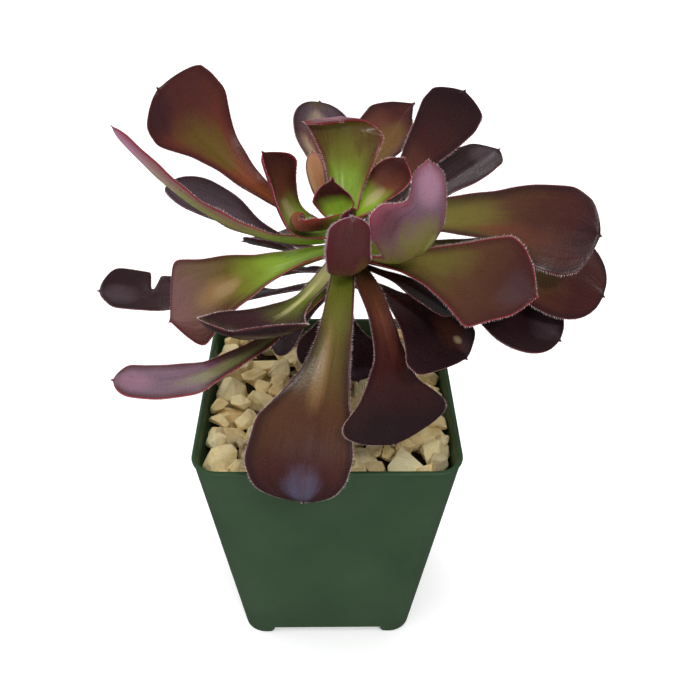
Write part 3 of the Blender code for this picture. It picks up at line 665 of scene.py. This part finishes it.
SKINS = {
    "rust": Skin(
        (RUST, RUST, CHESTNUT, CHOCOLATE), (RUST, RUST, UMBER, UMBER), MAROON, BERRY,
        ((OLIVE, 0.68, 0.1, 0.2, 0.8, 0.8), (PLUM, 0.96, 0.6, 0.14, 0.8, 0.8)),
    ),
    "rose": Skin((LIME, LIME, ROSE, MAUVE), (LIME, SAGE, SAGE, PINK), ROSE, RED),
    "plum": Skin(
        (MAROON, PLUM, PLUM, SOOT), (MAROON, PLUM, GREY, PLUM), SOOT, BERRY,
        ((GREY, 0.92, 0.2, 0.1, 0.7, 0.6),),
    ),
    "spoon": Skin(
        (CREAM, MOSS, PLUM, SOOT), (CREAM, MOSS, PLUM, SOOT), SOOT, BERRY,
        ((CREAM, 0.3, -0.2, 0.3, 0.3, 0.7), (GREY, 0.85, 0.0, 0.12, 0.8, 0.5)),
    ),
    "scarred": Skin(
        (MAROON, MAROON, SOOT, SOOT), (MAROON, PLUM, SOOT, SOOT), SOOT, BERRY,
        (
            (UMBER, 0.8, 0.3, 0.2, 0.5, 0.6),
            (GREY, 0.92, 0.5, 0.1, 0.5, 0.6),
            (SAND, 0.86, 0.25, 0.04, 0.18, 0.95),
        ),
    ),
    "mottled_and_sheen": Skin(
        (MAROON, MAROON, UMBER, GREY), (MAROON, MAROON, UMBER, GREY), SOOT, MAUVE,
        (
            # The two sand patches are painted highlights.
            (SAND, 0.86, 0.2, 0.1, 0.5, 0.5),
            (SAND, 0.62, 0.75, 0.16, 0.4, 0.6),
            (OLIVE, 0.97, 0.2, 0.06, 0.8, 0.5),
        ),
    ),
    "grey": Skin((MAROON, PLUM, GREY, GREY), (MAROON, PLUM, GREY, GREY), PLUM, MAUVE),
    "lime": Skin(
        (LIME, LIME, OLIVE, ROSEWOOD), (LIME, MOSS, MAUVE, MAUVE), MAROON, RED,
        (
            # The gold and sand patches are a painted highlight in the middle of the blade.
            (GOLD, 0.68, 0.0, 0.17, 0.5, 0.5),
            (SAND, 0.64, 0.05, 0.1, 0.3, 0.2),
            # The chocolate patch is a painted shadow: the front of the outer blade is darkened where the
            # spoon leaf above shades it.
            (CHOCOLATE, 0.82, 1.1, 0.4, 1.0, 0.9),
        ),
    ),
    "lilac": Skin(
        (MOSS, MOSS, MAUVE, LILAC), (MOSS, OLIVE, LILAC, MAUVE), MAROON, RED,
        ((SAGE, 0.58, 0.2, 0.26, 0.7, 0.55), (PINK, 0.93, 0.0, 0.1, 0.8, 0.35)),
    ),
    "bronze": Skin(
        (MOSS, OLIVE, BRONZE, MAROON), (MOSS, OLIVE, MAUVE, MAUVE), SOOT, BERRY,
        (
            # The gold patch is a painted highlight along the middle of the blade.
            (GOLD, 0.5, -0.1, 0.2, 0.35, 0.5),
            (SOOT, 0.99, 0.0, 0.14, 1.2, 0.9),
            # The glint patch is a painted glint, a soft pale reflection near the tip.
            (GLINT, 0.95, 0.0, 0.14, 0.6, 0.22),
        ),
    ),
    "maroon": Skin((BRONZE, UMBER, MAROON, SOOT), (OLIVE, MAROON, MAUVE, MAUVE), SOOT, BERRY),
    "olive": Skin(
        (MOSS, OLIVE, BRONZE, MAROON), (MOSS, MOSS, MAUVE, MAUVE), MAROON, RED,
        ((FERN, 0.5, 0.3, 0.2, 0.8, 0.4), (GREY, 0.9, 0.0, 0.1, 0.8, 0.3)),
    ),
    "broad": Skin(
        (MOSS, OLIVE, BRONZE, MAROON), (MOSS, MOSS, MAUVE, MAUVE), SOOT, BERRY,
        (
            (FERN, 0.45, 0.3, 0.25, 0.8, 0.5),
            (CHESTNUT, 0.66, -0.3, 0.2, 0.5, 0.35),
            (SOOT, 0.98, 0.0, 0.12, 1.2, 0.6),
        ),
    ),
    "brown": Skin(
        (OLIVE, OLIVE, UMBER, MAROON), (OLIVE, MAROON, MAUVE, MAUVE), SOOT, BERRY,
        ((OLIVE, 0.66, -0.2, 0.2, 0.7, 0.5),),
    ),
    "moss": Skin((LIME, LIME, MOSS, BRONZE), (LIME, MOSS, MAUVE, PLUM), MAROON, RED),
    "crown": Skin(
        (LIME, LIME, FERN, OLIVE), (LIME, MOSS, ROSE, PINK), BRONZE, RED,
        ((BRONZE, 0.8, 1.0, 0.3, 1.0, 0.7), (BRONZE, 0.8, -1.0, 0.3, 0.9, 0.7)),
    ),
    "bud": Skin(
        (LIME, LIME, UMBER, MAROON), (LIME, MOSS, MAUVE, PINK), MAROON, RED,
        # The sand patch is a painted highlight low on the blade.
        ((SAND, 0.42, -0.1, 0.2, 0.4, 0.5),),
    ),
    "cream": Skin(
        (CREAM, BLUSH, BLUSH, BLUSH), (CREAM, BLUSH, BLUSH, BLUSH), BLUSH, ROSE,
        ((CREAM, 0.4, 0.9, 0.8, 0.8, 0.9),),
    ),
    "wine": Skin(
        (MOSS, WINE, WINE, WINE), (MOSS, WINE, WINE, WINE), BERRY, PINK,
        ((OLIVE, 0.52, 0.8, 0.22, 0.9, 0.8),),
    ),
    "scroll": Skin((MOSS, UMBER, UMBER, GOLD), (MOSS, MAROON, UMBER, GOLD), CHESTNUT, RED),
    "pink": Skin(
        (MOSS, OLIVE, MAROON, MAROON), (MOSS, FERN, MAUVE, LILAC), ROSE, RED,
        (
            (FERN, 0.57, 0.15, 0.24, 0.7, 0.75),
            (WINE, 0.6, -1.0, 0.24, 0.6, 0.85),
            # The pink patch near the tip is partly the leaf's own pink and partly painted sheen where the
            # leaf curls over.
            (PINK, 0.9, 0.0, 0.12, 0.9, 0.7),
            (SAGE, 0.6, 0.5, 0.08, 0.25, 0.6),
        ),
    ),
    "heart": Skin((LIME, LIME, MAROON, MAROON), (LIME, LIME, MAROON, MAROON), MAROON, RED),
}


def leaf_skin(name, skin):
    """Waxy skin: its colour runs from foot to tip, darkens to the margins and is finely veined."""
    finish = Finish(name, IOR=1.4, Specular_IOR_Level=0.5)
    along, across = finish.attribute("along"), finish.attribute("across")
    edge, upper = finish.attribute("edge"), finish.attribute("upper")
    blotch = finish.noise(60.0, 3.0)
    grain = finish.noise(1.0, 4.0, 0.65, finish.join(across * 9.0, along * 4.0, blotch * 2.0))
    speck = finish.noise(1400.0, 2.0)
    run = along + (blotch - 0.5) * 0.3 + (grain - 0.5) * 0.12
    stops = (0.12, 0.38, 0.62, 0.9)
    top = finish.ramp(run, tuple(zip(stops, skin.upper)))
    bottom = finish.ramp(run, tuple(zip(stops, skin.under)))
    colour = finish.mix(upper.between(0.3, 0.7), bottom, top)
    # Patches mix in over the ramp colours: some are the leaf's own markings, others painted highlights, a
    # painted glint, painted sheen and a painted shadow.
    for patch, mid_along, mid_across, reach_along, reach_across, strength in skin.patches:
        away_along = (along - mid_along) * (1 / reach_along)
        away_across = (across - mid_across) * (1 / reach_across)
        away = away_along * away_along + away_across * away_across + (blotch + grain - 1.0) * 1.2
        colour = finish.mix((1.0 - away.between(0.0, 1.0)) * strength, colour, patch)
    dark = (1.0 - edge.between(0.0, 4.0)) * along.between(0.15, 0.5) * 0.8
    colour = finish.mix(dark, colour, skin.rim)
    line = (1.0 - edge.between(0.2, 0.6)) * 0.85
    colour = finish.mix(line, colour, skin.line)
    shade = 0.56 + 0.4 * grain + 0.14 * speck
    tone = finish.join(shade, shade, shade)
    colour = finish.mix(1.0, colour, tone, "MULTIPLY")
    height = grain * 0.5 + speck * 0.25 + blotch
    rough = 0.17 + 0.12 * speck + 0.12 * grain
    return finish.finish(Base_Color=colour, Roughness=rough, Normal=finish.bump(height, 0.0004, 0.5))


def cilia_finish():
    finish = Finish("cilia", Roughness=0.6)
    colour = finish.ramp(finish.noise(900.0), ((0.3, srgb(178, 158, 156)), (0.7, srgb(226, 214, 208))))
    return finish.finish(Base_Color=colour)


# ---------------------------------------------------------------- stem

def stem_finish():
    finish = Finish("bark", Roughness=0.8)
    spot = finish.noise(300.0, 4.0, 0.6)
    fine = finish.noise(2500.0, 2.0)
    green = finish.attribute("fresh").between(0.0, 1.0)
    bark = finish.ramp(spot, ((0.3, srgb(92, 70, 50)), (0.5, srgb(130, 104, 76)), (0.7, srgb(166, 142, 110))))
    colour = finish.mix(green, bark, srgb(118, 132, 58))
    rough = 0.65 + 0.25 * fine
    return finish.finish(Base_Color=colour, Roughness=rough, Normal=finish.bump(spot + fine * 0.3, 0.001))


def build_stem(material):
    """A woody stem with raised leaf scars winding round it, green near the tip."""
    sides, rings = 40, 150
    scar_count, lowest_scar, scar_step, scar_turn = 24, 91, 2.3, 137.5
    scar_half_angle, scar_half_height, scar_rise = 0.55, 1.5, 0.75
    green_from, green_over = 141, 14
    heights = np.linspace(STEM[0][2], STEM[-1][2], rings)
    radii = np.interp(heights, [row[2] for row in STEM], [row[3] for row in STEM])
    scars = [(lowest_scar + i * scar_step, math.radians(scar_turn * i)) for i in range(scar_count)]
    vertices, fresh = [], []
    for z, radius in zip(heights, radii):
        centre = stem_centre(z)
        for k in range(sides):
            angle = 2 * math.pi * k / sides
            swelling = 0.0
            for height, turn in scars:
                away = (angle - turn + math.pi) % (2 * math.pi) - math.pi
                off = (away / scar_half_angle) ** 2 + ((z - height) / scar_half_height) ** 2
                swelling += scar_rise * math.exp(-(off - 1) ** 2 * 2.2) if off < 4 else 0.0
            x, y = math.cos(angle), math.sin(angle)
            knobbly = 0.05 * noise.noise((x * 2, y * 2, z * 0.25))
            out = radius * (0.93 + knobbly) + swelling * 0.5
            vertices.append(centre + np.array([x * out, y * out, 0]))
            fresh.append(np.clip((z - green_from) / green_over, 0, 1))
    add_piece("stem_bark", vertices, tube_faces(rings, sides), [material], "stem", {"fresh": fresh})


# ---------------------------------------------------------------- pot, potting mix and gravel

POT_TOP, POT_BASE, POT_HEIGHT = 89.0, 64.0, 97.0
CORNER_TOP, CORNER_BASE = 9.0, 8.0
POT_LIP, LIP_HEIGHT, POT_WALL = 0.4, 1.6, 1.3
FOOT_HEIGHT, FOOT_WIDTH = 3.5, 11.5
DRAIN_RADIUS, DRAIN_PLACE = 3.5, 15.0
SOIL_TOP, STONE_TOP = 87.0, 96.2
WALL_GAP = 0.3  # between the pot's wall and what fills it

# From the lip over the rim into the pot: how far below the rim, and how far in from the pot's outer face
RIM_PROFILE = ((0.5, -0.4), (0.15, -0.25), (0.0, 0.05), (0.0, 0.7), (0.15, 1.1), (0.6, 1.3))

# Layers of stone chips: height, smallest and largest size, and how many places are tried
CHIP_LAYERS = ((82.0, 14, 18, 2000), (87.0, 16, 25, 6000), (90.5, 14, 24, 14000), (92.0, 9, 14, 20000))
CHIP_SPACING = 0.27  # least distance between two chips, as a share of their sizes added up


def pot_half(z):
    return (POT_BASE + (POT_TOP - 2 * POT_LIP - POT_BASE) * z / POT_HEIGHT) / 2


def rounded_square(half, radius, z, steps=12, straight=10):
    """Points round a square with round corners, with points along its sides too."""
    inner = half - radius

    def on_corner(quarter, turns):
        middle, angle = math.radians(45 + 90 * quarter), math.radians(90 * turns)
        x = math.copysign(inner, math.cos(middle)) + radius * math.cos(angle)
        y = math.copysign(inner, math.sin(middle)) + radius * math.sin(angle)
        return np.array([x, y, z])

    points = []
    for quarter in range(4):
        points += [on_corner(quarter, quarter + step / steps) for step in range(steps + 1)]
        first, last = points[-1], on_corner(quarter + 1, quarter + 1)
        points += [first + (last - first) * k / straight for k in range(1, straight)]
    return points


def pot_ring(z, inset=0.0):
    corner = CORNER_BASE + (CORNER_TOP - CORNER_BASE) * z / POT_HEIGHT
    return rounded_square(pot_half(z) - inset, corner - inset, z)


def pot_finish():
    finish = Finish("green_plastic", IOR=1.5, Specular_IOR_Level=0.4)
    cloud = finish.noise(40.0, 3.0)
    fine = finish.noise(2200.0, 2.0)
    stretched = finish.node(
        "ShaderNodeVectorMath", {"operation": "MULTIPLY"}, {0: finish.place(), 1: (160.0, 160.0, 1100.0)}
    )
    scuff = finish.noise(1.0, 4.0, 0.65, stretched)
    colour = finish.ramp(cloud + (scuff - 0.5) * 0.3, ((0.25, srgb(42, 70, 41)), (0.75, srgb(54, 80, 51))))
    rough = 0.4 + 0.12 * cloud + 0.1 * scuff
    return finish.finish(Base_Color=colour, Roughness=rough, Normal=finish.bump(fine + scuff * 0.5, 0.00008))


def channel_cutter(turned):
    """A long block that opens the channel between two feet, flared so that the feet end in a round."""
    half, reach = POT_BASE / 2 - FOOT_WIDTH, 45.0
    profile = [(half + FOOT_HEIGHT, -1.0)]
    for step in range(9):
        angle = math.radians(90 * step / 8)
        profile.append((half + FOOT_HEIGHT * (1 - math.sin(angle)), FOOT_HEIGHT * (1 - math.cos(angle))))
    outline = profile + [(-y, z) for y, z in reversed(profile)]
    shape = bmesh.new()
    for x in (-reach, reach):
        ring = [shape.verts.new((x * MM, y * MM, z * MM)) for y, z in outline]
        shape.faces.new(ring)
    shape.verts.ensure_lookup_table()
    count = len(outline)
    for k in range(count):
        j = (k + 1) % count
        shape.faces.new([shape.verts[i] for i in (k, j, count + j, count + k)])
    if turned:
        bmesh.ops.rotate(shape, matrix=Matrix.Rotation(math.radians(90), 3, "Z"), verts=shape.verts)
    bmesh.ops.recalc_face_normals(shape, faces=shape.faces)
    return shape


def drain_cutters():
    """Four upright rods that open the drain holes through the floor."""
    cutters = []
    radius = DRAIN_RADIUS * MM
    for sx, sy in ((1, 1), (-1, 1), (-1, -1), (1, -1)):
        shape = bmesh.new()
        bmesh.ops.create_cone(
            shape, cap_ends=True, segments=32, radius1=radius, radius2=radius, depth=4 * radius
        )
        place = (sx * DRAIN_PLACE * MM, sy * DRAIN_PLACE * MM, 0)
        bmesh.ops.translate(shape, vec=place, verts=shape.verts)
        cutters.append(shape)
    return cutters


def build_pot(material):
    """A thin tapered shell with a turned-out rim, standing on four corner feet with channels between them."""
    top = POT_HEIGHT - LIP_HEIGHT
    levels = [pot_ring(0.0, 0.6), pot_ring(0.2, 0.25), pot_ring(0.7)]
    levels += [pot_ring(z) for z in np.linspace(FOOT_HEIGHT + 1.0, top - 0.3, 30)]
    levels += [pot_ring(top, -0.05), pot_ring(top + 0.2, -0.25), pot_ring(top + 0.5, -POT_LIP)]
    for below_rim, inset in RIM_PROFILE:
        levels.append(pot_ring(POT_HEIGHT - below_rim, inset))
    levels += [pot_ring(z, POT_WALL) for z in np.linspace(SOIL_TOP, FOOT_HEIGHT + POT_WALL, 4)]
    vertices = [point for ring in levels for point in ring]
    pot = add_piece("pot_shell", vertices, tube_faces(len(levels), len(levels[0])), [material], "pot")
    for shape in [channel_cutter(False), channel_cutter(True)] + drain_cutters():
        bmesh.ops.translate(shape, vec=tuple(-MIDDLE * MM), verts=shape.verts)
        mesh = bpy.data.meshes.new("cutter")
        shape.to_mesh(mesh)
        shape.free()
        cutter = bpy.data.objects.new("cutter", mesh)
        bpy.context.scene.collection.objects.link(cutter)
        modifier = pot.modifiers.new("cut", "BOOLEAN")
        modifier.object = cutter
        modifier.solver = "EXACT"
        bpy.context.view_layer.update()
        graph = bpy.context.evaluated_depsgraph_get()
        solid = bpy.data.meshes.new_from_object(pot.evaluated_get(graph))
        pot.modifiers.clear()
        pot.data = solid
        bpy.data.objects.remove(cutter)
    pot.data.shade_smooth()
    pot.data.set_sharp_from_angle(angle=math.radians(50))


def soil_finish():
    finish = Finish("potting_mix", Roughness=0.95)
    crumb = finish.noise(500.0, 4.0, 0.7)
    fleck = finish.noise(1200.0, 1.0)
    colour = finish.ramp(crumb, ((0.3, srgb(24, 18, 14)), (0.55, srgb(52, 38, 28)), (0.75, srgb(86, 66, 48))))
    return finish.finish(Base_Color=colour, Normal=finish.bump(crumb + fleck * 0.4, 0.002))


def build_soil(material):
    """A crumbly block that fills the pot under the gravel."""
    inset = POT_WALL + WALL_GAP
    rings = [pot_ring(z, inset) for z in (FOOT_HEIGHT + inset, 8, 20, 40, 60, 80, SOIL_TOP)]
    for share in np.linspace(0.9, 0.08, 10):
        ring = []
        for p in pot_ring(SOIL_TOP, inset):
            x, y = p[0] * share, p[1] * share
            lift = 1.2 * noise.noise((x * 0.3, y * 0.3, 4.0)) - 0.9
            ring.append(np.array([x, y, SOIL_TOP + lift]))
        rings.append(ring)
    vertices = [p for ring in rings for p in ring]
    add_piece("potting_mix", vertices, tube_faces(len(rings), len(rings[0])), [material], "soil")


def gravel_finish():
    finish = Finish("broken_stone", Roughness=0.85)
    chip = finish.attribute("chip")
    dust = finish.noise(450.0, 5.0, 0.65)
    stain = finish.noise(120.0, 2.0)
    fine = finish.noise(3000.0, 2.0)
    tone = finish.ramp(chip, (
        (0.0, srgb(240, 204, 130)),
        (0.25, srgb(254, 226, 156)),
        (0.55, srgb(255, 242, 190)),
        (0.8, srgb(250, 222, 156)),
        (0.95, srgb(218, 198, 152)),
    ))
    colour = finish.mix(stain.between(0.5, 0.75) * 0.5, tone, srgb(196, 160, 104))
    colour = finish.mix(dust.between(0.35, 0.7) * 0.45, colour, srgb(255, 244, 206))
    rough = 0.75 + 0.2 * fine
    return finish.finish(Base_Color=colour, Roughness=rough, Normal=finish.bump(dust + fine * 0.4, 0.0014))


def chip_shape(rng, size):
    """A broken stone: the hull of scattered points, with its edges slightly worn."""
    shape = bmesh.new()
    stretch = np.array([1.0, rng.uniform(0.62, 0.95), rng.uniform(0.45, 0.8)])
    for _ in range(rng.integers(11, 17)):
        direction = rng.normal(size=3)
        direction = direction / np.linalg.norm(direction)
        shape.verts.new(direction * stretch * size / 2 * rng.uniform(0.85, 1.0))
    result = bmesh.ops.convex_hull(shape, input=shape.verts)
    loose = [v for v in result["geom_interior"] if isinstance(v, bmesh.types.BMVert)]
    bmesh.ops.delete(shape, geom=loose, context="VERTS")
    bmesh.ops.dissolve_limit(shape, angle_limit=math.radians(14), verts=shape.verts, edges=shape.edges)
    worn = size * 0.035
    bmesh.ops.bevel(
        shape, geom=shape.edges[:], offset=worn, segments=2, profile=0.6, affect="EDGES", clamp_overlap=True
    )
    turn = Matrix.Rotation(rng.uniform(0, 6.28), 3, "Z") @ Matrix.Rotation(rng.normal() * 0.5, 3, "X")
    turn = turn @ Matrix.Rotation(rng.normal() * 0.5, 3, "Y")
    shape.verts.ensure_lookup_table()
    vertices = [np.array(turn @ v.co) for v in shape.verts]
    faces = [tuple(v.index for v in face.verts) for face in shape.faces]
    shape.free()
    return vertices, faces


def chip_places(rng):
    """Centres and sizes of chips that keep their distance from one another, the pot's wall and the stem."""
    reach = pot_half(95) - 1.6
    stem_gap, corner_round = 4.6, 7
    chips = []
    for z, low, high, tries in CHIP_LAYERS:
        for _ in range(tries):
            size = rng.uniform(low, high)
            x, y = rng.uniform(-reach, reach, 2)
            limit = reach - size * 0.34
            if abs(x) > limit or abs(y) > limit or math.hypot(x, y) < stem_gap + size * 0.4:
                continue
            corner = limit - corner_round
            past_x, past_y = abs(x) - corner, abs(y) - corner
            if past_x > 0 and past_y > 0 and math.hypot(past_x, past_y) > corner_round:
                continue
            here = np.array([x, y, z + rng.uniform(-0.6, 0.6)])
            for place, other in chips:
                if np.linalg.norm((here - place) * (1, 1, 1.3)) < (size + other) * CHIP_SPACING:
                    break
            else:
                chips.append((here, size))
    return chips


def settle(place, points):
    """A chip's place, kept under the rim, and moved up against the wall where it lies close to one."""
    top = max(p[2] for p in points) + place[2]
    place = place - np.array([0, 0, max(0, top - STONE_TOP)])
    wall = pot_half(90) - POT_WALL - WALL_GAP
    close, corner_room = 5, 12
    near, far = (0, 1) if abs(place[0]) > abs(place[1]) else (1, 0)
    side = math.copysign(1, place[near])
    gap = wall - max(side * (p[near] + place[near]) for p in points)
    if gap < close and abs(place[far]) < wall - corner_room:
        place[near] += side * gap
    return place


def build_gravel(material, rng):
    """Broken stone chips in loose layers over the potting mix, packed round the stem."""
    vertices, faces, tints = [], [], []
    for place, size in chip_places(rng):
        points, polygons = chip_shape(rng, size)
        place = settle(place, points)
        start = len(vertices)
        vertices += [p + place for p in points]
        faces += [tuple(start + i for i in polygon) for polygon in polygons]
        tints += [rng.uniform()] * len(points)
    add_piece("gravel_chips", vertices, faces, [material], "gravel", {"chip": tints}, smooth=False)


# ---------------------------------------------------------------- stage

def add_area(name, place, target, size, power, tint=(1, 1, 1)):
    """A soft rectangular light, placed and sized in metres, turned towards its target."""
    data = bpy.data.lights.new(name, "AREA")
    data.shape = "RECTANGLE"
    data.size, data.size_y = size
    data.energy = power
    data.color = tint
    light = bpy.data.objects.new(name, data)
    light.location = place
    light.rotation_euler = (Vector(target) - Vector(place)).to_track_quat("-Z", "Y").to_euler()
    bpy.context.scene.collection.objects.link(light)


def add_sun(name, towards, spread, power, gloss):
    """Even light from a direction, softened over a spread in degrees, with or without a glossy reflection."""
    data = bpy.data.lights.new(name, "SUN")
    data.angle = math.radians(spread)
    data.energy = power
    light = bpy.data.objects.new(name, data)
    light.rotation_euler = Vector(towards).to_track_quat("Z", "Y").to_euler()
    light.visible_glossy = gloss
    bpy.context.scene.collection.objects.link(light)


def build_stage():
    finish = Finish("floor_paper", Roughness=0.9, Emission_Color=(1, 1, 1, 1), Emission_Strength=0.3)
    tone = finish.noise(3.0)
    finish.finish(Base_Color=finish.ramp(tone, ((0.0, (0.93, 0.93, 0.93, 1)), (1.0, (0.97, 0.97, 0.97, 1)))))
    mesh = bpy.data.meshes.new("floor")
    far = 6
    mesh.from_pydata([(-far, -far, 0), (far, -far, 0), (far, far, 0), (-far, far, 0)], [], [(0, 1, 2, 3)])
    mesh.materials.append(finish.material)
    floor = bpy.data.objects.new("floor", mesh)
    bpy.context.scene.collection.objects.link(floor)
    floor.visible_glossy = False
    world = bpy.data.worlds.new("studio")
    world.use_nodes = True
    world.node_tree.nodes["Background"].inputs["Color"].default_value = (1, 1, 1, 1)
    world.node_tree.nodes["Background"].inputs["Strength"].default_value = 0.15
    bpy.context.scene.world = world
    bpy.context.scene.view_settings.view_transform = "Standard"
    add_sun("skylight", towards=(-0.3, 0.1, 1.0), spread=100, power=2.9, gloss=False)
    add_sun("window", towards=(0.3, -0.8, 1.0), spread=9, power=0.9, gloss=True)
    sky = (0.82, 0.88, 1.0)
    add_area("low_window", place=(-0.1, -1.5, 0.3), target=(0, 0, 0.1), size=(0.4, 0.3), power=0.9, tint=sky)
    add_area("back_window", place=(-0.5, 1.2, 1.0), target=(0, 0, 0.15), size=(0.35, 0.3), power=1.6)


def build_camera():
    """A camera turned down, a little to the right and slightly askew."""
    pitch, yaw, roll = math.radians(-36.0), math.radians(1.77), math.radians(1.09)
    ahead = Vector((math.sin(yaw) * math.cos(pitch), math.cos(yaw) * math.cos(pitch), math.sin(pitch)))
    right = Vector((math.cos(yaw), -math.sin(yaw), 0))
    up = right.cross(ahead)
    turned_right = right * math.cos(roll) + up * math.sin(roll)
    turned_up = up * math.cos(roll) - right * math.sin(roll)
    data = bpy.data.cameras.new("camera")
    data.lens, data.sensor_width = 46.3, 36.0
    camera = bpy.data.objects.new("camera", data)
    turn = Matrix((turned_right, turned_up, -ahead)).transposed().to_4x4()
    place = (np.array([-0.1, -253.3, 297.8]) - MIDDLE) * MM
    camera.matrix_world = Matrix.Translation(place) @ turn
    bpy.context.scene.collection.objects.link(camera)
    bpy.context.scene.camera = camera


def main():
    rng = np.random.default_rng(7)
    cilia = cilia_finish()
    skins = {name: leaf_skin(f"leaf_{name}", skin) for name, skin in SKINS.items()}
    for leaf in LEAVES:
        vertices, faces, values, t, middle = leaf_mesh(leaf, rng)
        start = add_cilia(leaf, vertices, faces, values, t, middle, rng)
        which = [0] * start + [1] * (len(faces) - start)
        materials = [skins[leaf.skin], cilia]
        add_piece(f"{leaf.name}_blade", vertices, faces, materials, leaf.name, values, which)
    build_stem(stem_finish())
    build_pot(pot_finish())
    build_soil(soil_finish())
    build_gravel(gravel_finish(), np.random.default_rng(4))
    build_stage()
    build_camera()


main()
